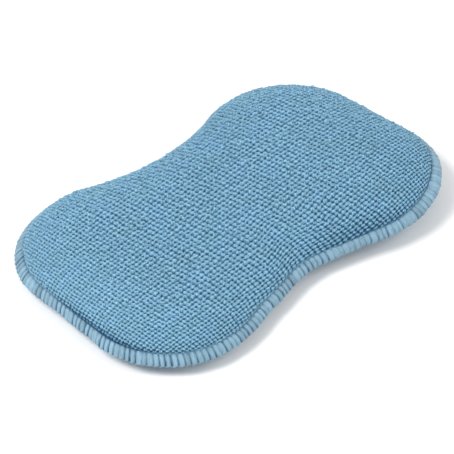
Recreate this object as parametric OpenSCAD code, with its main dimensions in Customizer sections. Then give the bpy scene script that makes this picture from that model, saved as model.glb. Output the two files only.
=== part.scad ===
// Waisted cleaning sponge: a foam core between two looped microfibre panels, closed by an overlock edge.
// It lies flat on z = 0, with its length along X and its middle over the origin.

/* [Pad] */
// Length over the stitched edge, in mm
pad_length = 150; // [130:1:180]
// Greatest width over the stitched edge, at the two lobes
pad_width = 98; // [80:1:120]
// How far each long side dips in at the waist
waist_depth = 8; // [2:0.5:14]
// Thickness from the resting face to the crown
pad_thickness = 16; // [12:0.2:26]
// Radius of the four corners
corner_radius = 33.5; // [26:0.5:38]
// Width of the rounded shoulder, in from the seam
shoulder_width = 24; // [10:0.5:26]
// Fullness of the shoulder, where 2 is an ellipse and more is squarer
shoulder_fullness = 2.4; // [1.8:0.1:4]

/* [Cloth] */
// Thickness of one microfibre panel, pile included
cloth_thickness = 1.6; // [1:0.1:2.5]
// Distance between two rows of pile loops
row_pitch = 2.1; // [1.6:0.1:6]
// Depth of the furrow between two rows
furrow_depth = 0.45; // [0.1:0.05:0.7]
// How far the pile is pressed flat under the pad
pressed_depth = 0.7; // [0.5:0.05:0.9]

/* [Edge] */
// Width of the stitched edge, measured level
edge_width = 2.9; // [2.4:0.1:6]
// How far the stitched edge droops over that width
edge_droop = 2.4; // [0:0.1:3]
// Width of the crease between the stitched edge and the swell of the panel
crease_width = 0.3; // [0.2:0.1:1]
// Thickness of one panel where the thread squeezes it
hem_thickness = 1; // [0.5:0.1:1.4]
// Thickness of the thread over the hem
thread_thickness = 0.9; // [0.5:0.1:1.2]
// Distance between two stitches
stitch_pitch = 2.1; // [1.8:0.1:6]
// Depth of the groove between two stitches
stitch_groove = 0.4; // [0.1:0.05:0.45]

/* [Core] */
// Space between the foam and the panels
core_clearance = 0.4; // [0.2:0.1:0.8]

/* [Hidden] */

// The outline is a straight end, a corner arc and a hollow waist arc, mirrored into four quarters
seam_height = pad_thickness / 2;
corner_x = pad_length / 2 - corner_radius;
corner_y = pad_width / 2 - corner_radius;
waist_radius = (pow(corner_x, 2) + pow(corner_radius - waist_depth, 2) - pow(corner_radius, 2))
    / (2 * waist_depth);
waist_y = pad_width / 2 - waist_depth + waist_radius;
waist_angle = atan2(corner_x, waist_y - corner_y);
corner_angle = 90 + waist_angle;

// Lengths of the three stretches of one quarter
corner_run = corner_radius * corner_angle * PI / 180;
waist_run = waist_radius * waist_angle * PI / 180;
quarter_run = corner_y + corner_run + waist_run;

// Steps round the edge: two to a stitch, and a plain hem point at every fourth stitch
stitches = 2 * round(quarter_run / stitch_pitch / 2);
hem_step = 8;
quarter_steps = 2 * stitches;
hem_inset = thread_thickness + stitch_groove;
edge_bevel = 0.8;
nose_share = 0.35;

// Steps over the cloth: a station on each row and in each furrow, and bands that crowd towards the seam
shoulder_bands = 4;
band_crowding = 2;
end_lip = 0.3;
swell_inset = edge_width + crease_width;
hem_root = swell_inset + 2.5 * cloth_thickness;
rows = round((pad_length / 2 - swell_inset - end_lip) / row_pitch);
smooth_stations = 12;

// A point of the outline and its outward direction, as [x, y, nx, ny], at a distance s along the first quarter
function straight_part(s) = [pad_length / 2, s, 1, 0];
function corner_part(a) =
    [corner_x + corner_radius * cos(a), corner_y + corner_radius * sin(a), cos(a), sin(a)];
function waist_part(a) = [waist_radius * sin(a), waist_y - waist_radius * cos(a), -sin(a), cos(a)];
function quarter(s) =
    s <= corner_y ? straight_part(s)
    : s <= corner_y + corner_run ? corner_part((s - corner_y) / corner_radius * 180 / PI)
    : waist_part((quarter_run - s) / waist_radius * 180 / PI);

// The same for step i of the whole outline, where every second quarter runs backwards
function outline(i) =
    let (
        q = floor(i / quarter_steps) % 4,
        back = q % 2 == 1,
        r = i % quarter_steps,
        p = quarter((back ? quarter_steps - r : r) * quarter_run / quarter_steps),
        mx = q == 1 || q == 2 ? -1 : 1,
        my = q >= 2 ? -1 : 1
    )
    [mx * p[0], my * p[1], mx * p[2], my * p[3]];
outline_steps = 4 * quarter_steps;

// A point at step i, moved in from the outline, and how far the edge droops there
function inside(i, inset) = let (p = outline(i)) [p[0] - inset * p[2], p[1] - inset * p[3]];
function drop(inset) = edge_droop * max(0, 1 - inset / edge_width);
function edge_point(i, inset, height) = concat(inside(i, inset), height - drop(inset));

// Half the pad's width at station x, measured to a line that lies inset within the outline
function half_span(x, inset) =
    let (meet = corner_x * (waist_radius + inset) / (waist_radius + corner_radius))
    abs(x) > meet
        ? corner_y + sqrt(max(0, pow(corner_radius - inset, 2) - pow(abs(x) - corner_x, 2)))
        : waist_y - sqrt(pow(waist_radius + inset, 2) - x * x);

// Distance of a point from that line, positive inside
function depth_inside(x, y, inset) =
    let (
        u = abs(x) - corner_x,
        v = abs(y) - corner_y,
        from_end = pad_length / 2 - inset - abs(x),
        from_waist = norm([x, waist_y - abs(y)]) - waist_radius - inset
    )
    v > 0 && atan2(v, u) <= corner_angle ? corner_radius - inset - norm([u, v]) : min(from_end, from_waist);

// Height over the seam of a skin that swells to height: a superellipse over the shoulder, and level within it
function rise(x, y, inset, height) =
    let (
        shoulder = shoulder_width - (inset - swell_inset),
        u = min(1, max(0, depth_inside(x, y, inset) / shoulder))
    )
    height * pow(1 - pow(1 - u, shoulder_fullness), 1 / shoulder_fullness);

// Places across the pad, from -1 to 1, close together where the shoulder is steep
shoulder_share = shoulder_width / (pad_width / 2 - swell_inset);
half_bands = [for (j = [0:shoulder_bands]) 1 - shoulder_share * pow(j / shoulder_bands, band_crowding)];
bands = concat([for (t = half_bands) -t], [for (j = [shoulder_bands:-1:0]) half_bands[j]]);

// The line over the pad at station x, from foot to foot, and the same line mirrored under the seam
function over(x, inset, height, foot = 0) = [
    for (t = bands)
        let (y = t * half_span(x, inset))
        [x, y, abs(t) == 1 ? foot : max(foot, rise(x, y, inset, height))]
];
function under(line) = [for (j = [len(line) - 2:-1:1]) [line[j][0], line[j][1], -line[j][2]]];

// Numbers of the points of a grid of closed rings, as two triangles to each cell
function cell(k, j, n, last) =
    let (a = k * n + j, b = k * n + (j + 1) % n, c = ((k + 1) % last) * n + j, d = ((k + 1) % last) * n + (j + 1) % n)
    [[a, b, d], [a, d, c]];

// Solid through a list of closed rings with equal numbers of points
module loft(rings) {
    n = len(rings[0]);
    last = len(rings) - 1;
    sides = [for (k = [0:last - 1], j = [0:n - 1]) each cell(k, j, n, last + 1)];
    caps = [[for (j = [n - 1:-1:0]) j], [for (j = [0:n - 1]) last * n + j]];
    polyhedron(points = [for (ring = rings) each ring], faces = concat(sides, caps));
}

// Outside of one panel, with a ridge along each row of pile and its foot on the hem
module ridged_crown(height) {
    reach = pad_length / 2 - swell_inset - end_lip;
    loft([
        for (k = [0:4 * rows])
            let (furrow = k % 2 == 1 ? furrow_depth : 0)
            over(reach * (k / (2 * rows) - 1), swell_inset + furrow, height - furrow, hem_thickness)
    ]);
}

// Whole smooth pillow that lies depth within the outside of both panels
module pillow(depth) {
    inset = swell_inset + depth;
    reach = pad_length / 2 - inset - end_lip;
    loft([
        for (k = [0:smooth_stations])
            let (line = over(-reach * cos(180 * k / smooth_stations), inset, seam_height - depth))
            concat(line, under(line))
    ]);
}

// Hem of one panel, which the thread wraps: a level ring that turns down, or up, towards its cut edge
module hem(fall) {
    section = [
        [hem_root, 0], [edge_width, 0], [hem_inset, 0],
        [hem_inset, hem_thickness], [edge_width, hem_thickness], [hem_root, hem_thickness]
    ];
    n = len(section);
    steps = outline_steps / hem_step;
    points = [
        for (i = [0:hem_step:outline_steps - 1], p = section)
            concat(inside(i, p[0]), p[1] - fall * drop(p[0]))
    ];
    polyhedron(points = points, faces = [for (k = [0:steps - 1], j = [0:n - 1]) each cell(k, j, n, steps)]);
}

// Outside of the thread at step i, from above to below: high on a stitch, and lower between two stitches
function thread_line(i) =
    let (
        groove = i % 2 == 0 ? stitch_groove : 0,
        top = hem_thickness + thread_thickness - groove,
        nose = hem_thickness + (thread_thickness - groove) * nose_share,
        lip = edge_width - edge_bevel
    )
    [edge_point(i, lip, top), edge_point(i, groove, nose), edge_point(i, groove, -nose), edge_point(i, lip, -top)];

// Inside of the thread at step i, where it lies on both hems: the lip, the slot and the lower lip
function slot_line(i) = [
    edge_point(i, edge_width, hem_thickness), edge_point(i, hem_inset, hem_thickness),
    edge_point(i, hem_inset, -hem_thickness), edge_point(i, edge_width, -hem_thickness)
];

// Triangles from hem_step + 1 points on the stitches to the two lip points that carry them
function lip_fan(stitch, lip_a, lip_b) =
    let (half = hem_step / 2)
    concat(
        [for (k = [0:half - 1]) [lip_a, stitch[k], stitch[k + 1]]],
        [[lip_a, stitch[half], lip_b]],
        [for (k = [half:hem_step - 1]) [lip_b, stitch[k], stitch[k + 1]]]
    );
function turned(faces) = [for (f = faces) [f[0], f[2], f[1]]];

// One panel lying on the seam, hollow underneath, with a hem that falls by the droop where fall is 1
module panel(height, fall) {
    difference() {
        union() {
            ridged_crown(height);
            hem(fall);
        }
        pillow(cloth_thickness);
    }
}

module top_cover() {
    color([0.46, 0.63, 0.74])
        translate([0, 0, seam_height])
            panel(seam_height, 1);
}

// The lower panel, with its pile pressed flat where it rests
module bottom_cover() {
    color([0.42, 0.58, 0.7])
        difference() {
            translate([0, 0, seam_height])
                mirror([0, 0, 1])
                    panel(seam_height + pressed_depth, -1);
            translate([-pad_length, -pad_width, -pad_thickness])
                cube([2 * pad_length, 2 * pad_width, pad_thickness]);
        }
}

module foam_core() {
    color([0.93, 0.9, 0.78])
        translate([0, 0, seam_height])
            pillow(cloth_thickness + core_clearance);
}

module edge_stitching() {
    slot = 4 * outline_steps;
    slot_lines = outline_steps / hem_step;
    points = concat(
        [for (i = [0:outline_steps - 1]) each thread_line(i)],
        [for (c = [0:slot_lines - 1]) each slot_line(c * hem_step)]
    );
    outside = [
        for (i = [0:outline_steps - 1], j = [0:2])
            let (a = 4 * i + j, b = 4 * ((i + 1) % outline_steps) + j)
            each [[a, b + 1, a + 1], [a, b, b + 1]]
    ];
    slot_walls = [
        for (c = [0:slot_lines - 1], j = [0:2])
            let (a = slot + 4 * c + j, b = slot + 4 * ((c + 1) % slot_lines) + j)
            each j == 0 ? [[a, a + 1, b], [a + 1, b + 1, b]] : [[a, a + 1, b + 1], [a, b + 1, b]]
    ];
    lips = [
        for (c = [0:slot_lines - 1])
            let (
                a = slot + 4 * c,
                b = slot + 4 * ((c + 1) % slot_lines),
                upper = [for (k = [0:hem_step]) 4 * ((c * hem_step + k) % outline_steps)],
                lower = [for (i = upper) i + 3]
            )
            each concat(turned(lip_fan(upper, a, b)), lip_fan(lower, a + 3, b + 3))
    ];
    color([0.55, 0.69, 0.77])
        translate([0, 0, seam_height])
            polyhedron(points = points, faces = concat(outside, slot_walls, lips));
}

top_cover();
bottom_cover();
foam_core();
edge_stitching();
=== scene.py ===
import math

import bpy
import numpy as np
from bpy.props import FloatProperty, FloatVectorProperty, IntProperty, PointerProperty
from mathutils import Matrix, Vector


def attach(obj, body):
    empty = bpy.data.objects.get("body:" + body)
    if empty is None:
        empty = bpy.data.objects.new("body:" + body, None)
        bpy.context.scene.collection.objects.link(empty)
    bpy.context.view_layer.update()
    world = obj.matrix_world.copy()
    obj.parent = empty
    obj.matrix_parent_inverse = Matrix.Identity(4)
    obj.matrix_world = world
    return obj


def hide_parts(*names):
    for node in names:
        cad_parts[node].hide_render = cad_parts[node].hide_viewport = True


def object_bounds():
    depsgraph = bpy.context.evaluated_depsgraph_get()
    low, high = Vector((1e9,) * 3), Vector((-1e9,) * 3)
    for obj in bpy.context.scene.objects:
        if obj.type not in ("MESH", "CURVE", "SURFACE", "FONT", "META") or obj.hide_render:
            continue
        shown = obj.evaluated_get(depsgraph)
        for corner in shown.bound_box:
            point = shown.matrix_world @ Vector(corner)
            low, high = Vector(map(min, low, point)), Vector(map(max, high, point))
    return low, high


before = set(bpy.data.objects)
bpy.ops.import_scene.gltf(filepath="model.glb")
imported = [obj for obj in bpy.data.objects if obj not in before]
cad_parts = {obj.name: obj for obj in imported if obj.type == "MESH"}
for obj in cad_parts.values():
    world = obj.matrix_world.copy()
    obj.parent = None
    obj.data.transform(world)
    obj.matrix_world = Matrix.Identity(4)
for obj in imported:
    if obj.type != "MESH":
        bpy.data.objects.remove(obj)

bl_info = {
    "name": "Waisted cleaning sponge",
    "version": (1, 0, 0),
    "blender": (4, 5, 0),
    "location": "3D View > Sidebar > Sponge",
    "description": "Makes a microfibre cleaning sponge with a foam core and an overlocked edge",
    "category": "Add Mesh",
}

PACKED_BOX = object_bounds()
PACKED_SIZE = PACKED_BOX[1] - PACKED_BOX[0]
MM = 0.001

# Camera: azimuth, elevation and roll in degrees, the point it aims at, the picture's width in pixels, and
# how many pixels a metre spans at that point
CAMERA_ANGLES = (-39.512, 42.308, -3.1)
CAMERA_AIM = (-1.23 * MM, 1.31 * MM, 0.75 * MM)
PICTURE_WIDTH = 454
PIXELS_A_METRE = 2815.2
SENSOR_WIDTH = 36

# Lamps: name, place, size, and power as a share of the key power
LAMPS = (("key", (-0.55, 0.15, 0.78), 0.4, 1.0), ("fill", (0.6, -0.8, 0.8), 0.8, 0.9))

# Panels: name, node, side of the seam, turn of the rows and of the lines in radians, and seed
PANELS = (("top_panel", "top_cover", 1, (0.075, 0.145), 11),
          ("bottom_panel", "bottom_cover", -1, (-0.05, 0.06), 23))

# Bends of the sewn edge: direction in degrees, then how far out its lip and its nose lie, in millimetres
BENDS = ((-180, 0.5, 0.0), (-143, 0.6, 0.7), (-112, 1.1, 0.8), (-90, -0.9, -0.9), (-66, 1.2, 0.4),
         (-36, -0.7, 0.5), (151, 0.4, 1.2))

# Deeper painted shade in folds beside the edge: direction and spread in degrees, added depth, and added
# height in mm
SHADED_FOLDS = ((-170, 14, 0.95, 0.3), (-67, 12, 0.3, 3.5))

# Stretches where the edge is pulled flat and where the panel is painted lighter as painted light: direction
# in degrees, and spread in radians
FLAT_STRETCH = (-20, 0.5)
PAINTED_LIGHT_STRETCH = (175, 0.5)

# Form of a nub: mesh points over its width, squareness of its plan, flatness of its top, and depth of a
# crossing of the gaps as a share of the nub's height
NUB_STOPS = (0.0, 0.11, 0.5, 0.89)
NUB_SQUARENESS = 2.8
NUB_FLATNESS = 6
CROSSING_DEPTH = 0.5

# How much nubs differ: spread of their height, of their tilt, and of their bulge along X and Y
NUB_HEIGHT_SPREAD = 0.25
NUB_LEAN_SPREAD = 0.25
NUB_BULGE = (0.16 * MM, 0.14 * MM)

# Pile beside the edge: share of its height that is lost at the hem, then the heights over the seam where the
# pile and the cloth's back start to grow, and the heights over which they reach their full size
PILE_LOST = 0.35
PILE_START, PILE_GROWTH = 0.65 * MM, 0.6 * MM
BACK_START, BACK_GROWTH = 1.2 * MM, 1.2 * MM

# How pale the cloth is where the thread squeezes it, and on its back, where 1 is the top of a nub and less
# is painted shade, as down in the gaps between nubs
HEM_UNSHADED = 0.8
BACK_UNSHADED = 0.45

# Mesh points over the width of a stitch, and round the thread's cross-section
STITCH_STOPS = (0.0, 0.06, 0.15, 0.25, 0.34, 0.43, 0.5, 0.58, 0.67, 0.76, 0.85, 0.94)
PROFILE_POINTS = 38


def length(name, description, default):
    """A length that a user may change, in metres."""
    return FloatProperty(name=name, description=description, default=default, min=0.0,
                         unit="LENGTH", subtype="DISTANCE", precision=5)


def amount(name, description, default):
    """A plain number that a user may change."""
    return FloatProperty(name=name, description=description, default=default, precision=3)


def colour(name, description, default):
    """A linear colour that a user may change."""
    return FloatVectorProperty(name=name, description=description, default=default, size=3,
                               subtype="COLOR", min=0.0, max=1.0)


class PadShape(bpy.types.PropertyGroup):
    """Sizes of the whole pad."""

    length: length("Length", "Length over the stitched edge", PACKED_SIZE.x)
    width: length("Width", "Width over the stitched edge at the lobes", 98 * MM)
    waist_depth: length("Waist depth", "How far each long side dips in at the waist", 8 * MM)
    corner_radius: length("Corner radius", "Radius of the four corners", 33.5 * MM)
    thickness: length("Thickness", "From the resting face to the crown", PACKED_SIZE.z)
    seam_height: length("Seam height", "Height of the seam over the resting face", 8 * MM)
    pressed_depth: length("Pressed depth", "How far the pile is pressed flat underneath", 0.7 * MM)
    shoulder_width: length("Shoulder width", "Width of the rounded shoulder", 24 * MM)
    shoulder_fullness: amount("Shoulder fullness", "2 is an ellipse, and more is squarer", 2.4)
    swell_inset: length("Swell inset", "Where the panel leaves the stitched edge", 3.0 * MM)
    gather: length("Gather", "Cloth that is taken up in the shoulder by the tight stitches", 7.0 * MM)
    edge_width: length("Edge width", "Level width of the stitched edge", 2.85 * MM)
    edge_droop: length("Edge droop", "How far the edge hangs down over its width", 2.5 * MM)
    corner_lift: length("Corner lift", "How far the curled corner stands up", 8.5 * MM)
    corner_dip: length("Corner dip", "How far the corner across from it sinks", 3.6 * MM)
    bend_width: FloatProperty(name="Bend width", description="Spread of each bend of the edge round the pad",
                              default=math.radians(9), min=0.01, unit="ROTATION", subtype="ANGLE")
    dome: length("Dome", "How far the middle of the crown stands over its shoulders", 0.5 * MM)
    unevenness: length("Unevenness", "Soft rise and fall of the crown", 0.15 * MM)


class ClothFinish(bpy.types.PropertyGroup):
    """The looped microfibre of both panels."""

    row_pitch: length("Row pitch", "Distance between two nubs along a row", 1.99 * MM)
    line_pitch: length("Line pitch", "Distance between two rows of nubs", 1.71 * MM)
    nub_height: length("Nub height", "Height of a nub over the gap beside it", 0.7 * MM)
    thickness: length("Thickness", "Thickness of a panel, nubs included", 1.6 * MM)
    hem_thickness: length("Hem thickness", "Thickness where the thread squeezes the panel", 0.55 * MM)
    hem_inset: length("Hem inset", "How far the cut edge lies inside the stitched edge", 1.3 * MM)
    irregularity: length("Irregularity", "How far a nub strays from its place", 0.18 * MM)
    end_gather: amount("End gather", "Share of the top panel that is taken up toward its left end", 0.17)
    end_start: length("End gather start", "Distance from the middle where that gather starts", 42 * MM)
    # Painted shade: how dark the cloth is painted in the crease beside the edge, and how far up the shoulder
    # it reaches
    fold: amount("Shading", "How dark the cloth is down in the fold beside the edge", 0.05)
    shading_height: length("Fold height", "How far up the shoulder the fold's darkness reaches", 3.0 * MM)
    tip: colour("Tip colour", "Colour of the nubs", (0.206, 0.414, 0.588))
    grey_tip: colour("Greyer tip colour", "Colour of the nubs in the greyer patches", (0.206, 0.407, 0.53))
    # The gap colour is painted shade down between the nubs
    gap: colour("Gap colour", "Colour between the nubs", (0.008, 0.07, 0.15))


class EdgeFinish(bpy.types.PropertyGroup):
    """The overlock thread round the edge."""

    half_height: length("Half height", "Height of the thread over the seam", 1.35 * MM)
    slot_height: length("Slot height", "Height of the slot that holds one panel", 0.6 * MM)
    slot_inset: length("Slot inset", "Depth of the thread outside the panels' cut edge", 1.2 * MM)
    stitches: IntProperty(name="Stitches", description="Number of stitches all round", default=208, min=8)
    groove: length("Groove depth", "Depth of the groove between two stitches", 0.5 * MM)
    lean: length("Lean", "How far a stitch slants over the width of the edge", 0.7 * MM)
    waviness: length("Waviness", "How far the edge wanders in and out", 0.3 * MM)
    smoothed: amount("Smoothed", "Share of the ridges that is lost where the edge is pulled flat", 0.55)
    thread: colour("Thread colour", "Colour of the thread", (0.20, 0.335, 0.43))
    shade: colour("Shade colour", "Colour down between two stitches", (0.06, 0.145, 0.23))


class FoamFinish(bpy.types.PropertyGroup):
    """The foam core."""

    inset: length("Inset", "How far the core lies within the outside of the panels", 2.0 * MM)
    cell: length("Cell size", "Size of the open cells", 0.5 * MM)
    wall: colour("Wall colour", "Colour of the cell walls", (0.80, 0.75, 0.55))
    # The hollow colour is painted shade down in the cells
    hollow: colour("Hollow colour", "Colour down in the cells", (0.42, 0.36, 0.20))


class StageLook(bpy.types.PropertyGroup):
    """Floor, light and camera."""

    floor: colour("Floor colour", "Colour of the pale floor", (0.93, 0.93, 0.93))
    sky: amount("Sky strength", "Strength of the even light from all round", 0.62)
    key: amount("Key power", "Power of the large soft light, in watts", 7.2)
    distance: length("Camera distance", "From the camera to the middle of the pad", 0.84149)


def outline_of(pad):
    """The centres, radii and angles of the arcs of a quarter outline, as a dict.

    A quarter runs along a straight end, round a corner arc and into a hollow waist arc, and these meet
    smoothly.
    """
    r, dip = pad.corner_radius, pad.waist_depth
    cx, cy = pad.length / 2 - r, pad.width / 2 - r
    waist_r = (cx**2 + (r - dip) ** 2 - r**2) / (2 * dip)
    waist_y = pad.width / 2 - dip + waist_r
    waist_angle = math.atan2(cx, waist_y - cy)
    runs = (cy, r * (math.pi / 2 + waist_angle), waist_r * waist_angle)
    return {"end": pad.length / 2, "r": r, "cx": cx, "cy": cy, "waist_r": waist_r, "waist_y": waist_y,
            "corner_angle": math.pi / 2 + waist_angle, "runs": runs}


def depth_and_direction(arcs, x, y):
    """How deep points lie inside the outline, and the outward direction of the nearest stretch of it.

    Beside a corner the depth is the corner radius less the distance to the corner's centre. Elsewhere it is
    the lesser of the distance to the straight end and the distance to the waist's arc.
    """
    ax, ay = np.abs(x), np.abs(y)
    u, v, w = ax - arcs["cx"], ay - arcs["cy"], arcs["waist_y"] - ay
    at_corner, at_waist = np.hypot(u, v), np.hypot(ax, w)
    corner = (v > 0) & (np.arctan2(v, u) <= arcs["corner_angle"])
    from_end, from_waist = arcs["end"] - ax, at_waist - arcs["waist_r"]
    end = ~corner & (from_end < from_waist)
    depth = np.where(corner, arcs["r"] - at_corner, np.minimum(from_end, from_waist))
    away = np.maximum(at_corner, 1e-9)
    out_x = np.where(corner, u / away, np.where(end, 1.0, -ax / at_waist))
    out_y = np.where(corner, v / away, np.where(end, 0.0, w / at_waist))
    return depth, np.where(x < 0, -out_x, out_x), np.where(y < 0, -out_y, out_y)


def walk(arcs, turn):
    """Points and outward directions on the outline, for an array of turns from 0 to 1 all round.

    Every second quarter runs backwards, and each quarter is the first one mirrored.
    """
    run = sum(arcs["runs"])
    quarter = np.floor(turn * 4).astype(int) % 4
    share = (turn * 4) % 1.0
    s = np.where(quarter % 2 == 1, 1 - share, share) * run
    straight, corner = arcs["runs"][0], arcs["runs"][0] + arcs["runs"][1]
    a = (s - straight) / arcs["r"]
    b = (run - s) / arcs["waist_r"]
    where = [s <= straight, s <= corner]
    x = np.select(where, [arcs["end"], arcs["cx"] + arcs["r"] * np.cos(a)], arcs["waist_r"] * np.sin(b))
    y = np.select(where, [s, arcs["cy"] + arcs["r"] * np.sin(a)],
                  arcs["waist_y"] - arcs["waist_r"] * np.cos(b))
    nx = np.select(where, [1.0, np.cos(a)], -np.sin(b))
    ny = np.select(where, [0.0, np.sin(a)], np.cos(b))
    sx = np.where((quarter == 1) | (quarter == 2), -1.0, 1.0)
    sy = np.where(quarter >= 2, -1.0, 1.0)
    return x * sx, y * sy, nx * sx, ny * sy


def lift(pad, x, y):
    """How far one corner of the pad curls up and the corner across from it sinks.

    Each is the fourth power of the place along the pad, times the square of the place across it.
    """
    along = np.clip((x / (pad.length / 2) + 1) / 2, 0, 1.1)
    near = np.clip((1 - y / (pad.width / 2)) / 2, 0, 1.1)
    far = np.clip((1 + y / (pad.width / 2)) / 2, 0, 1.1)
    return along**4 * (pad.corner_lift * near**2 - pad.corner_dip * far**2)


def edge_share(pad, inset):
    """How far an inset lies across the stitched edge, from 0 at its inner lip to 1 at its nose."""
    return np.clip(1 - inset / pad.edge_width, 0, 1)


def droop(pad, inset):
    """How far the stitched edge hangs down at an inset, in proportion from nothing at its inner lip."""
    return pad.edge_droop * edge_share(pad, inset)


def bell(x, y, direction, spread):
    """A bell curve round the pad, with its top of 1 in a direction in degrees and its spread in radians."""
    gap = (np.arctan2(y, x) - math.radians(direction) + math.pi) % (2 * math.pi) - math.pi
    return np.exp(-((gap / spread) ** 2) / 2)


def bend(pad, x, y, inset):
    """How far out a point is pulled where the edge was sewn unevenly.

    It is a bell in each bend's direction, with one height at the edge's inner lip and another at its nose.
    It starts to fade at 0.4 of the shoulder's width, and is gone at 1.4 of it.
    """
    share = edge_share(pad, inset)
    fade = np.clip(1.4 - inset / pad.shoulder_width, 0, 1)
    total = 0 * (x + inset)
    for direction, lip, nose in BENDS:
        total += bell(x, y, direction, pad.bend_width) * (lip * (1 - share) + nose * share)
    return total * fade * MM


def swell(pad, x, y):
    """Dome of the crown, and its soft rise and fall in four slow waves that cross each other."""
    waves = ((46, 17, 0.4), (-31, 52, 1.9), (83, -37, 4.1), (21, 96, 2.7))
    total = sum(np.sin(kx * x + ky * y + phase) for kx, ky, phase in waves)
    middle = (1 - (2 * x / pad.length) ** 2) * (1 - (2 * y / pad.width) ** 2)
    return pad.dome * middle + pad.unevenness * total / 2


def distance_along(a, b):
    """Distance along a curve, from its first point to each of its points."""
    return np.append(0, np.cumsum(np.hypot(np.diff(a), np.diff(b))))


def shoulder(pad, height, hem_height, hem_inset):
    """Profile of a skin from the crown out to its hem, as five arrays: distance along the skin, depth inside
    the outline, height, and the skin's outward and upward direction.

    Over the shoulder (out / width)^n + (up / height)^n = 1. From the hem's height down it runs level to the
    hem's cut edge. The foot is rounded by a running average.
    """
    turn = np.linspace(0, math.pi / 2, 2000)
    power = 2 / pad.shoulder_fullness
    out = pad.shoulder_width * np.sin(turn) ** power
    up = height * np.cos(turn) ** power
    keep = up > hem_height
    foot = pad.swell_inset + pad.shoulder_width
    depth = np.append(foot - out[keep], hem_inset)
    z = np.append(up[keep], hem_height)
    depth = np.insert(depth, -1, foot - out[keep][-1] - 1e-5)
    z = np.insert(z, -1, hem_height)
    run = distance_along(depth, z)
    even = np.linspace(0, run[-1], 1200)
    depth, z = np.interp(even, run, depth), np.interp(even, run, z)
    rounding = 0.25 * MM
    reach = max(1, int(round(rounding / (even[1] - even[0]))))
    mean = np.ones(2 * reach + 1) / (2 * reach + 1)

    def smooth(values):
        """The running average, with each end of the values carried on in point symmetry."""
        first = values[0] + (values[0] - values[1:reach + 1])[::-1]
        last = values[-1] + (values[-1] - values[-reach - 1:-1])[::-1]
        return np.convolve(np.concatenate([first, values, last]), mean, "valid")

    depth, z = smooth(depth), smooth(z)
    run = distance_along(depth, z)
    d_out, d_up = -np.gradient(depth), np.gradient(z)
    size = np.hypot(d_out, d_up)
    return run, depth, z, -d_up / size, d_out / size


def mesh_piece(name, points, faces, uv, attributes):
    """A smooth mesh object from whole arrays: points, a list of (corners, sizes) face blocks, a UV pair for
    each point, and any number of named values for each point. Points that no face uses are dropped."""
    corners = np.concatenate([block[0] for block in faces])
    sizes = np.concatenate([block[1] for block in faces])
    used = np.zeros(len(points), bool)
    used[corners] = True
    place = np.cumsum(used) - 1
    corners = place[corners].astype(np.int32)
    points, uv = points[used], uv[used]
    mesh = bpy.data.meshes.new(name)
    mesh.vertices.add(len(points))
    mesh.vertices.foreach_set("co", points.astype(np.float32).ravel())
    mesh.loops.add(len(corners))
    mesh.loops.foreach_set("vertex_index", corners)
    mesh.polygons.add(len(sizes))
    mesh.polygons.foreach_set("loop_start", (np.cumsum(sizes) - sizes).astype(np.int32))
    mesh.polygons.foreach_set("use_smooth", np.ones(len(sizes), bool))
    layer = mesh.uv_layers.new(name="UVMap")
    layer.data.foreach_set("uv", uv[corners].astype(np.float32).ravel())
    for key, values in attributes.items():
        attribute = mesh.attributes.new(key, "FLOAT", "POINT")
        attribute.data.foreach_set("value", values[used].astype(np.float32))
    mesh.update(calc_edges=True)
    if mesh.validate():
        raise RuntimeError(f"{name}: the mesh had faces that had to be mended")
    piece = bpy.data.objects.new(name, mesh)
    bpy.context.scene.collection.objects.link(piece)
    return piece


def quads(index):
    """Corners and sizes of the faces of a grid of point numbers."""
    corners = [index[:-1, :-1], index[1:, :-1], index[1:, 1:], index[:-1, 1:]]
    block = np.stack(corners, axis=-1).reshape(-1, 4)
    return block.ravel(), np.full(len(block), 4)


class Value:
    """A shader value. Sums, differences and products of it add the Math nodes that work them out."""

    def __init__(self, finish, socket):
        self.finish = finish
        self.socket = socket

    def combine(self, operation, first, second):
        """A Math node on two values or numbers."""
        return self.finish.node("ShaderNodeMath", {"operation": operation}, [first, second])

    def __add__(self, other):
        return self.combine("ADD", self, other)

    def __sub__(self, other):
        return self.combine("SUBTRACT", self, other)

    def __mul__(self, other):
        return self.combine("MULTIPLY", self, other)

    __radd__ = __add__


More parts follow.
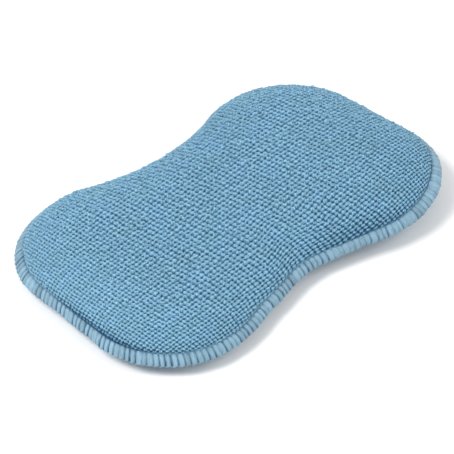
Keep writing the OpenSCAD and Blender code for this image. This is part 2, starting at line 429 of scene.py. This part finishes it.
class Finish:
    """A material that is being made, with one Principled shader."""

    def __init__(self, name, **fixed):
        self.material = bpy.data.materials.new(name)
        self.material.use_nodes = True
        self.tree = self.material.node_tree
        self.shader = self.tree.nodes["Principled BSDF"]
        for key, value in fixed.items():
            self.shader.inputs[key.replace("_", " ")].default_value = value

    def node(self, kind, settings=None, inputs=None, output=0):
        """Adds a node, sets its settings, fills its inputs by number or name, and gives back one output."""
        node = self.tree.nodes.new(kind)
        for key, value in (settings or {}).items():
            setattr(node, key, value)
        pairs = inputs.items() if isinstance(inputs, dict) else enumerate(inputs or [])
        for key, value in pairs:
            if isinstance(value, Value):
                self.tree.links.new(value.socket, node.inputs[key])
            else:
                node.inputs[key].default_value = value
        return Value(self, node.outputs[output])

    def attribute(self, name):
        """A named value of the piece's points."""
        return self.node("ShaderNodeAttribute", {"attribute_name": name}, output="Fac")

    def place(self):
        """The place on the piece, in metres."""
        return self.node("ShaderNodeTexCoord", output="Object")

    def uv(self, scale, turn=0.0):
        """The piece's own UV map, scaled and then turned."""
        place = self.node("ShaderNodeUVMap", {"uv_map": "UVMap"})
        return self.node("ShaderNodeMapping", {"vector_type": "POINT"},
                         {"Vector": place, "Scale": scale, "Rotation": (0.0, 0.0, turn)})

    def noise(self, where, scale, detail=2.0, roughness=0.5):
        """Soft noise round 0.5."""
        return self.node("ShaderNodeTexNoise", {"noise_dimensions": "3D"},
                         {"Vector": where, "Scale": scale, "Detail": detail, "Roughness": roughness}, "Fac")

    def level(self, value, low, high):
        """A value that runs from 0 at low to 1 at high, with soft ends."""
        return self.node("ShaderNodeMapRange", {"interpolation_type": "SMOOTHSTEP"},
                         {"Value": value, "From Min": low, "From Max": high})

    def blend(self, share, first, second):
        """One colour or the other by share, each a plain colour or a value."""
        first, second = (c if isinstance(c, Value) else (*c, 1.0) for c in (first, second))
        return self.node("ShaderNodeMix", {"data_type": "RGBA"}, {0: share, 6: first, 7: second}, 2)

    def tint(self, base, strength):
        """A colour made lighter or darker by a value that is 1 where nothing changes."""
        return self.node("ShaderNodeVectorMath", {"operation": "SCALE"}, {0: base, "Scale": strength})

    def bump(self, height, distance, strength=1.0):
        """A surface direction that follows a height, which is worth the distance where it is 1."""
        inputs = {"Height": height, "Distance": distance, "Strength": strength}
        return self.node("ShaderNodeBump", None, inputs)

    def feed(self, **values):
        """Links values to the shader's sockets, and gives back the material."""
        for key, value in values.items():
            self.tree.links.new(value.socket, self.shader.inputs[key.replace("_", " ")])
        return self.material


def cloth_material(cloth, cells):
    """Microfibre: each nub is a tuft of fine loops, pale on top and deep blue in the gaps, in painted shade.

    The noise is measured in nubs: several strands cross a nub, and greyer patches run over a few nubs.
    """
    finish = Finish("microfibre", Roughness=0.88, Specular_IOR_Level=0.2, Sheen_Weight=0.2,
                    Sheen_Roughness=0.45)
    strands_a_nub, strand_slimness, strand_slant = 3.6, 1.3, 0.6
    patches_a_nub, clouds_a_nub = 0.2, 0.07
    in_nubs = finish.uv((cells[0], cells[1], 1.0))
    in_strands = finish.uv((cells[0], cells[1] * strand_slimness, 1.0), strand_slant)
    strand = finish.noise(in_strands, strands_a_nub, 1.0, 0.6)
    patch = finish.noise(in_nubs, patches_a_nub, 3.0)
    cloud = finish.noise(in_nubs, clouds_a_nub)
    # The nub value is painted shade between the nubs: 1 on a nub's top, and less down in the gaps
    nub, tone, fold = finish.attribute("nub"), finish.attribute("tone"), finish.attribute("fold")
    tip = finish.blend(finish.level(patch + tone * 0.02, 0.2, 0.8), cloth.tip, cloth.grey_tip)
    # The shading value is painted shade in the crease beside the edge, less a painted light at the left end
    pale = finish.level(nub + (strand - 0.5) * 0.5 - fold, 0.12, 0.97)
    shade = 0.98 + tone * 0.03 + (cloud - 0.5) * 0.15 + (strand - 0.5) * 2.4
    return finish.feed(Base_Color=finish.tint(finish.blend(pale, cloth.gap, tip), shade),
                       Normal=finish.bump(strand, 0.25 * MM, 0.9))


def thread_material(edge):
    """Bulky overlock thread: pale and slightly greyer than the cloth, with fine filaments along each stitch.

    The noise is measured in stitches along the edge, and in turns round the thread across it.
    """
    finish = Finish("overlock_thread", Roughness=0.8, Specular_IOR_Level=0.25, Sheen_Weight=0.2,
                    Sheen_Roughness=0.5)
    filaments_a_stitch, breaks_a_turn = 5.0, 6.0
    rib, tone = finish.attribute("rib"), finish.attribute("tone")
    in_filaments = finish.uv((edge.stitches * filaments_a_stitch, breaks_a_turn, 1.0))
    filament = finish.noise(in_filaments, 1.0, 2.0, 0.6)
    cloud = finish.noise(finish.uv((edge.stitches, 1.0, 1.0)), 0.12, 1.0)
    # The rib value is painted shade: the shade colour down between two stitches and in the crease toward the
    # inner lip
    base = finish.blend(finish.level(rib, -0.1, 0.9), edge.shade, edge.thread)
    shade = 1.0 + tone * 0.08 + (cloud - 0.5) * 0.16 + (filament - 0.5) * 1.0
    return finish.feed(Base_Color=finish.tint(base, shade), Normal=finish.bump(filament, 0.2 * MM, 0.9))


def foam_material(foam):
    """Open-cell foam: round hollows between thin pale walls, with painted shade down in the hollows."""
    finish = Finish("foam", Roughness=0.9, Specular_IOR_Level=0.2)
    grains_a_metre = 900.0
    where = finish.place()
    cells = {"Vector": where, "Scale": 1 / foam.cell}
    cell = finish.node("ShaderNodeTexVoronoi", {"feature": "F1"}, cells, "Distance")
    grain = finish.noise(where, grains_a_metre, 3.0)
    wall = finish.level(cell + (grain - 0.5) * 0.2, 0.2, 0.75)
    # Painted shade in the hollows between the walls
    base = finish.blend(wall, foam.hollow, foam.wall)
    return finish.feed(Base_Color=base, Normal=finish.bump(wall, 0.3 * MM))


def floor_material(stage):
    """Plain pale floor with a faint grain."""
    finish = Finish("pale_floor", Roughness=0.9, Specular_IOR_Level=0.1)
    grains_a_metre = 40.0
    grain = finish.noise(finish.place(), grains_a_metre)
    return finish.feed(Base_Color=finish.tint(tuple(stage.floor), 1.0 + (grain - 0.5) * 0.01))


def lattice_steps(first, last):
    """Places along one direction of the lattice: each nub's mesh points in turn, and the last nub's end."""
    cells = np.arange(first, last)
    return np.append((cells[:, None] + np.array(NUB_STOPS)).ravel(), float(last))


class Lattice:
    """The flat knit, with a cell for each nub and a few mesh points to a cell.

    Mesh point (u, v) lies at u * row + v * line. Its cell's numbers from the lattice's start are iu and iv,
    and fu and fv are its place in the cell, from 0 to 1.
    """

    def __init__(self, cloth, grain, ends):
        """Rows and lines are turned by grain, and the lattice covers the box whose corners are ends."""
        self.row = np.array([math.cos(grain[0]), math.sin(grain[0])]) * cloth.row_pitch
        self.line = np.array([math.sin(grain[1]), -math.cos(grain[1])]) * cloth.line_pitch
        span = ends @ np.linalg.inv(np.array([self.row, self.line]))
        low, high = np.floor(span.min(0)).astype(int), np.ceil(span.max(0)).astype(int)
        self.cells = (high[0] - low[0], high[1] - low[1])
        self.u = lattice_steps(low[0], high[0])[:, None]
        self.v = lattice_steps(low[1], high[1])[None, :]
        self.iu = np.minimum(np.floor(self.u + 1e-6).astype(int), high[0]) - low[0]
        self.iv = np.minimum(np.floor(self.v + 1e-6).astype(int), high[1]) - low[1]
        self.fu, self.fv = self.u - low[0] - self.iu, self.v - low[1] - self.iv
        share_u, share_v = (self.u - low[0]) / self.cells[0], (self.v - low[1]) / self.cells[1]
        self.uv = np.stack(np.broadcast_arrays(share_u, share_v), axis=-1).reshape(-1, 2)

    def each_nub(self, rng):
        """A random number for each nub, with a spread of 1, at each of its mesh points."""
        return rng.normal(size=(self.cells[0] + 2, self.cells[1] + 2))[self.iu, self.iv]

    def strayed(self, rng, spread):
        """Places of the mesh points after each crossing of the lattice has strayed a little.

        A point moves by the mean of the four crossings round it, weighted by how near they are.
        """
        crossings = rng.normal(0, spread, (self.cells[0] + 2, self.cells[1] + 2, 2))
        iu, iv = self.iu, self.iv
        fu, fv = self.fu[..., None], self.fv[..., None]
        stray = (1 - fu) * (1 - fv) * crossings[iu, iv] + fu * (1 - fv) * crossings[iu + 1, iv]
        stray += (1 - fu) * fv * crossings[iu, iv + 1] + fu * fv * crossings[iu + 1, iv + 1]
        x = self.u * self.row[0] + self.v * self.line[0] + stray[..., 0]
        y = self.u * self.row[1] + self.v * self.line[1] + stray[..., 1]
        return x, y


def out_of_true(rng, x, y):
    """Flat cloth pulled slightly out of true, by slow waves over it of 0.5 to 0.8 mm."""
    pull = (0.5 + 0.3 * rng.random(4)) * MM
    return (x + pull[0] * np.sin(34 * y + 1.1) + pull[1] * np.sin(27 * x - 41 * y),
            y + pull[2] * np.sin(38 * x + 0.6) + pull[3] * np.sin(52 * x + 23 * y))


def nub_field(lattice, rng):
    """Form of the nubs at each mesh point: height as a share of a whole nub, how tall this nub is, its tone,
    and how far it bulges along X and Y.

    A nub stands 1 - r^q over the cloth, where r is the superellipse distance from its middle and q its
    flatness, so the crossings of the gaps are deepest. It is tilted by a random share each way.
    """
    across, down = 2 * lattice.fu - 1, 2 * lattice.fv - 1
    tall = 1 + NUB_HEIGHT_SPREAD * lattice.each_nub(rng)
    lean_across, lean_down = (NUB_LEAN_SPREAD * lattice.each_nub(rng) for _ in range(2))
    r = (np.abs(across) ** NUB_SQUARENESS + np.abs(down) ** NUB_SQUARENESS) ** (1 / NUB_SQUARENESS)
    nub = np.clip(1 - r**NUB_FLATNESS, -CROSSING_DEPTH, 1) * (1 + lean_across * across + lean_down * down)
    tone = lattice.each_nub(rng)
    bulge_x, bulge_y = (most * lattice.each_nub(rng) * np.maximum(nub, 0) for most in NUB_BULGE)
    return nub, tall, tone, bulge_x, bulge_y


def painted_shading(cloth, x, y, z, hang):
    """How much darker the cloth is painted in the crease beside the edge, as painted shade.

    It is deepest at the hem and fades up the shoulder with a power of 1.7. It is deeper and higher at the
    folds, and the hem is painted lighter along one stretch, a painted light at the left end.
    """
    depth, height, painted_light = cloth.fold, cloth.shading_height, 0.2
    for direction, spread, deeper, higher in SHADED_FOLDS:
        near = bell(x, y, direction, math.radians(spread))
        depth, height = depth + deeper * near, height + higher * near * MM
    # Painted shade in the crease, less a painted light at the left end
    fold = depth * np.clip(1 - (z - cloth.hem_thickness) / height, 0, 1) ** 1.7
    return fold - painted_light * bell(x, y, *PAINTED_LIGHT_STRETCH) * hang


def panel_faces(cells, within, outward):
    """Face blocks of a panel, whose points are the lattice's mesh points outside and then the same inside.

    The outside has each fine face with a point within the cut edge. The inside has one face to a nub, and
    fine faces near the cut edge, and a wall along the cut edge joins the two. Where outward is false, the
    lattice's own order would turn the faces inward, so it is reversed.
    """
    n = len(NUB_STOPS)
    count = within.size
    index = np.arange(count).reshape(within.shape)

    def block(corners, keep=None, flip=False):
        """A face block from rows of corners, of which some may be left out, turned outward."""
        keep = np.ones(corners.shape, bool) if keep is None else keep
        if outward == flip:
            corners, keep = corners[:, ::-1], keep[:, ::-1]
        return corners[keep], keep.sum(1)

    # A whole nub has all its fine faces, and a plain one has only whole nubs round it
    kept = within[:-1, :-1] | within[1:, :-1] | within[1:, 1:] | within[:-1, 1:]
    whole = kept.reshape(cells[0], n, cells[1], n).all(axis=(1, 3))
    framed = np.pad(whole, 1)
    plain = whole.copy()
    for a in (0, 1, 2):
        for b in (0, 1, 2):
            plain &= framed[a:a + cells[0], b:b + cells[1]]
    fine = np.stack([index[:-1, :-1], index[1:, :-1], index[1:, 1:], index[:-1, 1:]], axis=-1)
    rough = kept & ~np.repeat(np.repeat(plain, n, 0), n, 1)
    faces = [block(fine[kept]), block(fine[rough] + count, flip=True)]

    # One face behind each plain nub, with the fine points of a side only where the next nub isn't plain
    ring_u = np.r_[0:n, [n] * n, n:0:-1, [0] * n]
    ring_v = np.r_[[0] * n, 0:n, [n] * n, n:0:-1]
    ring_side = np.repeat(np.arange(4), n)
    is_corner = np.arange(4 * n) % n == 0
    i, j = np.nonzero(plain)
    framed = np.pad(plain, 1)
    beside = [framed[i + 1, j], framed[i + 2, j + 1], framed[i + 1, j + 2], framed[i, j + 1]]
    corners = index[i[:, None] * n + ring_u, j[:, None] * n + ring_v] + count
    faces.append(block(corners, is_corner | ~np.stack(beside, axis=1)[:, ring_side], flip=True))

    # The cut edge, along both directions of the lattice
    wide = np.pad(kept, 1)
    walls = ((wide[1:-1, :-1], wide[1:-1, 1:], index[:-1, :], index[1:, :]),
             (wide[:-1, 1:-1], wide[1:, 1:-1], index[:, 1:], index[:, :-1]))
    for before, after, first, second in walls:
        for only, a, b in ((after & ~before, second, first), (before & ~after, first, second)):
            a, b = a[only], b[only]
            faces.append(block(np.stack([a, b, b + count, a + count], axis=-1)))
    return faces


def make_panel(name, pad, cloth, side, grain, seed):
    """One looped panel, draped over its half of the pad, with its back and its cut edge.

    The cloth is a flat lattice of nubs, and the mesh follows it. The top panel is squeezed toward its left
    end. What hangs over the shoulder is pulled in along the outline's outward direction until its distance
    along the profile is right, and the gather takes up more of it toward the hem, with the cube of that
    distance. Gives back the piece, how far the flat cloth reaches beyond the outline, and how much longer it
    is for the squeeze.
    """
    rng = np.random.default_rng(seed)
    arcs = outline_of(pad)
    top = side > 0
    taken = cloth.end_gather if top else 0.0
    height = pad.thickness - pad.seam_height - pad.dome if top else pad.seam_height + pad.pressed_depth
    run, depth_at, z_at, out_at, up_at = shoulder(pad, height - cloth.nub_height,
                                                  cloth.hem_thickness, cloth.hem_inset)
    run = run + pad.gather * (run / run[-1]) ** 3
    crown_depth = pad.swell_inset + pad.shoulder_width
    beyond = run[-1] - crown_depth

    # The lattice's corners, of which the first two, at the left end, reach further for the squeeze
    margin = 2 * MM
    half = np.array([pad.length, pad.width]) / 2 + beyond + margin
    ends = np.array([[sx, sy] for sx in (-1, 1) for sy in (-1, 1)]) * half
    ends[:2] *= 1 + taken * np.array([0.9, 0.5])
    lattice = Lattice(cloth, grain, ends)

    # Flat cloth: strayed, pulled out of true, squeezed and bulging at each nub
    x, y = out_of_true(rng, *lattice.strayed(rng, cloth.irregularity))
    past = np.minimum(x + cloth.end_start, 0)
    x, y = x - taken * past, y * (1 + taken * past / pad.length)
    nub, tall, tone, bulge_x, bulge_y = nub_field(lattice, rng)
    x, y = x + bulge_x, y + bulge_y

    # Drape, with the lower panel's cloth at least half a nub over the floor
    depth, nx, ny = depth_and_direction(arcs, x, y)
    along = np.maximum(crown_depth - depth, 0)
    hang = np.clip(along / run[-1], 0, 1)
    hung = np.where(along > 0, np.interp(along, run, depth_at), depth)
    z = np.interp(along, run, z_at)
    out, up = np.interp(along, run, out_at), np.interp(along, run, up_at)
    rest_x, rest_y = x - nx * (hung - depth), y - ny * (hung - depth)
    pulled = bend(pad, rest_x, rest_y, hung)
    rest_x, rest_y = rest_x + nx * pulled, rest_y + ny * pulled
    if top:
        ground = z + np.clip(z / height, 0, 1) ** 2 * swell(pad, rest_x, rest_y)
    else:
        ground = np.minimum(z, pad.seam_height - 0.5 * cloth.nub_height)
    free = np.clip((z - PILE_START) / PILE_GROWTH, 0, 1)
    rise = cloth.nub_height * (nub * tall) * free * (1 - PILE_LOST * hang**2)
    slack = 0.02 * MM
    thin, thick = cloth.hem_thickness - slack, cloth.thickness - cloth.nub_height
    back = thin + (thick - thin) * np.clip((z - BACK_START) / BACK_GROWTH, 0, 1)

    def placed(offset):
        """Points at an offset from the cloth's ground, kept on or over the floor."""
        px, py = rest_x + nx * out * offset, rest_y + ny * out * offset
        level = ground + up * offset
        pz = pad.seam_height + side * level - droop(pad, hung) + lift(pad, px, py)
        return np.stack([px, py, np.maximum(pz, 0.0)], axis=-1).reshape(-1, 3)

    outward = (np.linalg.det([lattice.row, lattice.line]) > 0) == top
    faces = panel_faces(lattice.cells, along < run[-1], outward)
    # Painted shade between the nubs: 1 on a nub's top, less down in the gaps, and set values at the hem and
    # on the back
    raised = np.clip((nub + CROSSING_DEPTH) / (1 + CROSSING_DEPTH), 0, 1)
    unshaded = raised * free + HEM_UNSHADED * (1 - free)
    points = np.concatenate([placed(rise), placed(-back)])
    piece = mesh_piece(name, points, faces, np.tile(lattice.uv, (2, 1)), {
        "nub": np.concatenate([unshaded.ravel(), np.full(unshaded.size, BACK_UNSHADED)]),
        "tone": np.tile(tone.ravel(), 2),
        "fold": np.tile(painted_shading(cloth, x, y, z, hang).ravel(), 2),
    })
    piece.data.materials.append(cloth_material(cloth, lattice.cells))
    return piece, beyond, (pad.length / 2 + beyond - cloth.end_start) * taken / (1 - taken)


def flat_size(pad, beyond):
    """Width, length and area of the flat cut of a panel, whose edge lies beyond the pad's outline."""
    arcs = outline_of(pad)
    x, y, nx, ny = walk(arcs, np.linspace(0, 1, 2001)[:-1])
    x, y = x + nx * beyond, y + ny * beyond
    area = abs(np.sum(x * np.roll(y, -1) - y * np.roll(x, -1))) / 2
    return float(np.ptp(y)), float(np.ptp(x)), float(area)


def edge_profile(pad, edge, steps):
    """The thread's cross-section as an even closed curve, in five arrays: inset, height, direction outward
    and upward, and how free the thread is to stand in ridges there.

    It runs over the lip, the top, the nose and below, then through the slot.
    """
    h, s = edge.half_height, edge.slot_height
    over = [(1.00, s * 1.05, 0.0), (1.00, h * 0.62, 0.9), (0.93, h * 0.80, 0.8), (0.80, h * 0.94, 0.7),
            (0.60, h * 1.00, 0.8), (0.40, h * 0.98, 0.9), (0.20, h * 0.84, 1.1), (0.06, h * 0.52, 1.5),
            (0.00, h * 0.15, 1.7)]
    below = [(a, -b, c) for a, b, c in reversed(over)]
    points = np.array(over + below)
    points[:, 0] *= pad.edge_width
    tight, lip = edge.slot_inset, pad.edge_width * 0.97
    slot = np.array([(lip, -s, 0), ((lip + tight) / 2, -s, 0), (tight, -s, 0), (tight, 0, 0),
                     (tight, s, 0), ((lip + tight) / 2, s, 0), (lip, s, 0)])
    run = distance_along(points[:, 0], points[:, 1])
    even = np.linspace(0, run[-1], steps - len(slot))
    outer = np.stack([np.interp(even, run, points[:, k]) for k in range(3)], axis=1)
    for _ in range(2):
        outer[1:-1] = (outer[:-2] + 2 * outer[1:-1] + outer[2:]) / 4
    ring = np.concatenate([outer, slot])
    ring[:, 1] -= droop(pad, ring[:, 0])
    ahead, behind = np.roll(ring, -1, 0), np.roll(ring, 1, 0)
    d_in, d_up = ahead[:, 0] - behind[:, 0], ahead[:, 1] - behind[:, 1]
    size = np.maximum(np.hypot(d_in, d_up), 1e-9)
    return ring[:, 0], ring[:, 1], -d_up / size, -d_in / size, ring[:, 2]


def make_edge(pad, edge, seed):
    """The overlock thread: one closed ribbed band round both hems.

    A point lies at the outline's point for its stitch, moved in by the profile's inset. Each stitch stands
    out by (1 - (2f - 1)^2)^0.6, where f is the place across the stitch. The stitches slant, and they vary in
    pitch and bulk. They follow an edge that wanders a little, in slow waves round the pad.
    """
    rng = np.random.default_rng(seed)
    arcs = outline_of(pad)
    number = np.repeat(np.arange(edge.stitches), len(STITCH_STOPS))
    f = np.tile(np.array(STITCH_STOPS), edge.stitches)
    inset, z, out, up, free = edge_profile(pad, edge, PROFILE_POINTS)
    pitch_spread, bulk_spread, ridge_spread = 0.09, 0.3, 0.3
    swelling, strand_relief = 0.15 * MM, 0.035 * MM

    # Where each stitch starts, and where its slanted points lie round the pad
    start = (np.arange(edge.stitches) + rng.normal(0, pitch_spread, edge.stitches)) / edge.stitches
    size = np.diff(np.append(start, 1 + start[0]))
    turn = start[number] + f * size[number]
    lean = edge.lean * (0.75 + 0.5 * rng.random(edge.stitches)) / (4 * sum(arcs["runs"]))
    slant = (inset / pad.edge_width - 0.5) * np.sign(z + droop(pad, inset) + 1e-9)
    place = turn[:, None] - lean[number][:, None] * slant[None, :]
    x, y, nx, ny = walk(arcs, place % 1.0)

    # Ridges, which are fainter where the edge is pulled flat
    bulk = 1 + bulk_spread * rng.normal(size=edge.stitches)
    strength = np.clip(0.9 + ridge_spread * rng.normal(size=edge.stitches), 0.3, 1.4)
    rib = (1 - (2 * f - 1) ** 2) ** 0.6
    fade = np.where(f < 0.5, strength[number], np.roll(strength, -1)[number])
    fade *= 1 - edge.smoothed * bell(*walk(arcs, turn)[:2], *FLAT_STRETCH)
    ridge = (rib - 1) * fade * edge.groove + (bulk[number] - 1) * rib * swelling
    ridge += strand_relief * np.sin(8 * math.pi * f) * rib
    height = ridge[:, None] * free[None, :]

    def slow(waves, scale):
        """A few whole waves round the pad with seeded phases."""
        phase = rng.random(len(waves)) * 2 * math.pi
        total = sum(np.sin(2 * math.pi * k * turn + p) for k, p in zip(waves, phase))
        return scale * total / math.sqrt(len(waves))

    wander_out = slow((7, 11, 17, 29), edge.waviness) * 0.5
    wander_up = slow((5, 9, 14, 23), edge.waviness) * 0.6
    share = edge_share(pad, inset)[None, :]
    reach = inset[None, :] - height * out[None, :] - wander_out[:, None] * share
    reach = reach - bend(pad, x, y, inset[None, :])
    px, py = x - nx * reach, y - ny * reach
    pz = pad.seam_height + z[None, :] + height * up[None, :] + wander_up[:, None] * share**1.5 * 0.6
    points = np.stack([px, py, pz + lift(pad, px, py)], axis=-1)
    index = np.arange(px.size).reshape(px.shape)
    index = np.concatenate([index, index[:1]])
    index = np.concatenate([index, index[:, :1]], axis=1)

    # Thread colour, with painted shade down between two stitches and a painted crease shadow toward the
    # inner lip
    shade = 1 - np.abs(2 * f - 1)[:, None] ** 1.6 * fade[:, None] * np.clip(free, 0, 1)[None, :]
    # Painted crease shadow toward the inner lip
    lip_start, lip_shade_depth = 0.55, 0.5
    toward_lip = np.clip(inset / pad.edge_width - lip_start, 0, 1) / (1 - lip_start)
    shade = shade - lip_shade_depth * toward_lip[None, :]
    uv = np.stack(np.broadcast_arrays(turn[:, None], np.linspace(0, 1, len(inset))[None, :]), axis=-1)
    piece = mesh_piece("edge_thread", points.reshape(-1, 3), [quads(index)], uv.reshape(-1, 2), {
        "rib": shade.ravel(),
        "tone": np.repeat(rng.normal(size=edge.stitches)[number], len(inset)),
    })
    piece.data.materials.append(thread_material(edge))
    return piece


def make_foam(pad, foam):
    """The foam core: two skins over one waisted plan, joined at the seam.

    A point (s, t) of the square from -1 to 1 lies at x = reach * sin(s * 90 degrees), and across at
    sin(t * 90 degrees) times the half width there. Its height over the seam follows the superellipse of the
    shoulder.
    """
    arcs = outline_of(pad)
    inset = pad.swell_inset + foam.inset
    blunting = 0.05 * MM
    reach = pad.length / 2 - inset - blunting
    s = np.linspace(-1, 1, 121)[:, None]
    t = np.linspace(-1, 1, 81)[None, :]
    x = reach * np.sin(s * math.pi / 2)
    meet = arcs["cx"] * (arcs["waist_r"] + inset) / (arcs["waist_r"] + arcs["r"])
    lobe = arcs["cy"] + np.sqrt(np.maximum((arcs["r"] - inset) ** 2 - (np.abs(x) - arcs["cx"]) ** 2, 0))
    hollow = arcs["waist_y"] - np.sqrt((arcs["waist_r"] + inset) ** 2 - x**2)
    y = np.sin(t * math.pi / 2) * np.where(np.abs(x) > meet, lobe, hollow)
    x = x + 0 * t
    depth, _, _ = depth_and_direction(arcs, x, y)
    share = np.clip((depth - inset) / (pad.shoulder_width - foam.inset), 0, 1)
    rise = (1 - (1 - share) ** pad.shoulder_fullness) ** (1 / pad.shoulder_fullness)
    rise[:, [0, -1]] = 0
    raised = lift(pad, x, y)
    up = (pad.thickness - pad.seam_height - foam.inset) * rise
    down = (pad.seam_height - foam.inset) * rise
    above = np.stack([x, y, pad.seam_height + up + rise**2 * swell(pad, x, y) + raised], axis=-1)
    below = np.stack([x, y, np.maximum(pad.seam_height - down + raised, foam.inset)], axis=-1)
    points = np.concatenate([above.reshape(-1, 3), below.reshape(-1, 3)])
    index = np.arange(x.size).reshape(x.shape)
    under = index + x.size
    under[:, [0, -1]] = index[:, [0, -1]]
    caps = np.concatenate([np.concatenate([index[0], under[0, -2:0:-1]]),
                           np.concatenate([index[-1, ::-1], under[-1, 1:-1]])])
    faces = [quads(index), quads(under.T), (caps, np.full(2, len(caps) // 2))]
    uv = np.stack([(x / pad.length + 0.5).ravel(), (y / pad.width + 0.5).ravel()], axis=-1)
    piece = mesh_piece("foam_block", points, faces, np.tile(uv, (2, 1)), {})
    piece.data.materials.append(foam_material(foam))
    return piece


class SPONGE_OT_foam(bpy.types.Operator):
    """Make the foam core"""

    bl_idname = "sponge.foam"
    bl_label = "Foam core"

    def execute(self, context):
        piece = make_foam(context.scene.sponge_pad, context.scene.sponge_foam)
        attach(piece, "root")
        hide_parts("foam_core")
        return {"FINISHED"}


class SPONGE_OT_panels(bpy.types.Operator):
    """Make the two looped microfibre panels"""

    bl_idname = "sponge.panels"
    bl_label = "Cloth panels"

    def execute(self, context):
        pad, cloth = context.scene.sponge_pad, context.scene.sponge_cloth
        end_width_share = 0.9  # of the panel's width, where the squeeze makes it longer
        for name, node, side, grain, seed in PANELS:
            piece, beyond, longer = make_panel(name, pad, cloth, side, grain, seed)
            width, size, area = flat_size(pad, beyond)
            size, area = size + longer, area + longer * width * end_width_share
            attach(piece, "root")
            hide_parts(node)
        return {"FINISHED"}


class SPONGE_OT_edge(bpy.types.Operator):
    """Make the overlock thread round the edge"""

    bl_idname = "sponge.edge"
    bl_label = "Overlocked edge"

    def execute(self, context):
        piece = make_edge(context.scene.sponge_pad, context.scene.sponge_edge, seed=5)
        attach(piece, "root")
        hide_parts("edge_stitching")
        return {"FINISHED"}


class SPONGE_OT_stage(bpy.types.Operator):
    """Make the floor, the light and the camera"""

    bl_idname = "sponge.stage"
    bl_label = "Stage"

    def execute(self, context):
        stage = context.scene.sponge_stage
        self.add_floor(context, stage)
        self.add_light(context, stage)
        self.add_camera(context, stage)
        return {"FINISHED"}

    def add_floor(self, context, stage):
        """A level square, 3 m from its middle to each side."""
        half = 3
        mesh = bpy.data.meshes.new("floor")
        corners = [(-half, -half, 0), (half, -half, 0), (half, half, 0), (-half, half, 0)]
        mesh.from_pydata(corners, [], [(0, 1, 2, 3)])
        floor = bpy.data.objects.new("floor", mesh)
        mesh.materials.append(floor_material(stage))
        context.scene.collection.objects.link(floor)

    def add_light(self, context, stage):
        """Even white light from all round, and large lamps that face the pad."""
        world = bpy.data.worlds.new("studio")
        world.use_nodes = True
        background = world.node_tree.nodes["Background"].inputs
        background["Color"].default_value = (1, 1, 1, 1)
        background["Strength"].default_value = stage.sky
        context.scene.world = world
        for name, place, size, power in LAMPS:
            data = bpy.data.lights.new(name, "AREA")
            data.size = size
            data.energy = stage.key * power
            lamp = bpy.data.objects.new(name, data)
            turn = Vector(place).to_track_quat("Z", "Y").to_matrix().to_4x4()
            lamp.matrix_world = Matrix.Translation(place) @ turn
            context.scene.collection.objects.link(lamp)
        context.scene.view_settings.view_transform = "Standard"

    def add_camera(self, context, stage):
        """The camera stands back from its aim at an azimuth and an elevation, rolled about its own axis."""
        azimuth, elevation, roll = (math.radians(angle) for angle in CAMERA_ANGLES)
        back = Vector((math.sin(azimuth) * math.cos(elevation), -math.cos(azimuth) * math.cos(elevation),
                       math.sin(elevation)))
        right = Vector((math.cos(azimuth), math.sin(azimuth), 0))
        up = back.cross(right)
        side = right * math.cos(roll) + up * math.sin(roll)
        top = up * math.cos(roll) - right * math.sin(roll)
        data = bpy.data.cameras.new("camera")
        data.sensor_width = SENSOR_WIDTH
        data.lens = PIXELS_A_METRE * stage.distance * data.sensor_width / PICTURE_WIDTH
        data.clip_start = 0.01
        camera = bpy.data.objects.new("camera", data)
        turn = Matrix((side, top, back)).transposed().to_4x4()
        camera.matrix_world = Matrix.Translation(Vector(CAMERA_AIM) + back * stage.distance) @ turn
        context.scene.collection.objects.link(camera)
        context.scene.camera = camera


class SPONGE_PT_panel(bpy.types.Panel):
    """Sizes, finishes and the steps that make the sponge"""

    bl_idname = "SPONGE_PT_panel"
    bl_label = "Cleaning sponge"
    bl_space_type = "VIEW_3D"
    bl_region_type = "UI"
    bl_category = "Sponge"

    def draw(self, context):
        for group in GROUPS:
            settings = getattr(context.scene, group)
            box = self.layout.box()
            for key in settings.bl_rna.properties.keys():
                if key not in ("rna_type", "name"):
                    box.prop(settings, key)
        for operator in OPERATORS:
            self.layout.operator(operator.bl_idname)


GROUPS = {
    "sponge_pad": PadShape,
    "sponge_cloth": ClothFinish,
    "sponge_edge": EdgeFinish,
    "sponge_foam": FoamFinish,
    "sponge_stage": StageLook,
}
OPERATORS = (SPONGE_OT_stage, SPONGE_OT_foam, SPONGE_OT_panels, SPONGE_OT_edge)


def register():
    """Registers every class, and gives each scene the groups of values."""
    for group in (*GROUPS.values(), *OPERATORS, SPONGE_PT_panel):
        bpy.utils.register_class(group)
    for key, group in GROUPS.items():
        setattr(bpy.types.Scene, key, PointerProperty(type=group))


def unregister():
    """Takes the groups of values and every class away again."""
    for key in GROUPS:
        delattr(bpy.types.Scene, key)
    for group in (SPONGE_PT_panel, *OPERATORS, *reversed(GROUPS.values())):
        bpy.utils.unregister_class(group)


def main():
    register()
    bpy.ops.sponge.stage()
    bpy.ops.sponge.foam()
    bpy.ops.sponge.panels()
    bpy.ops.sponge.edge()


if __name__ == "__main__":
    main()
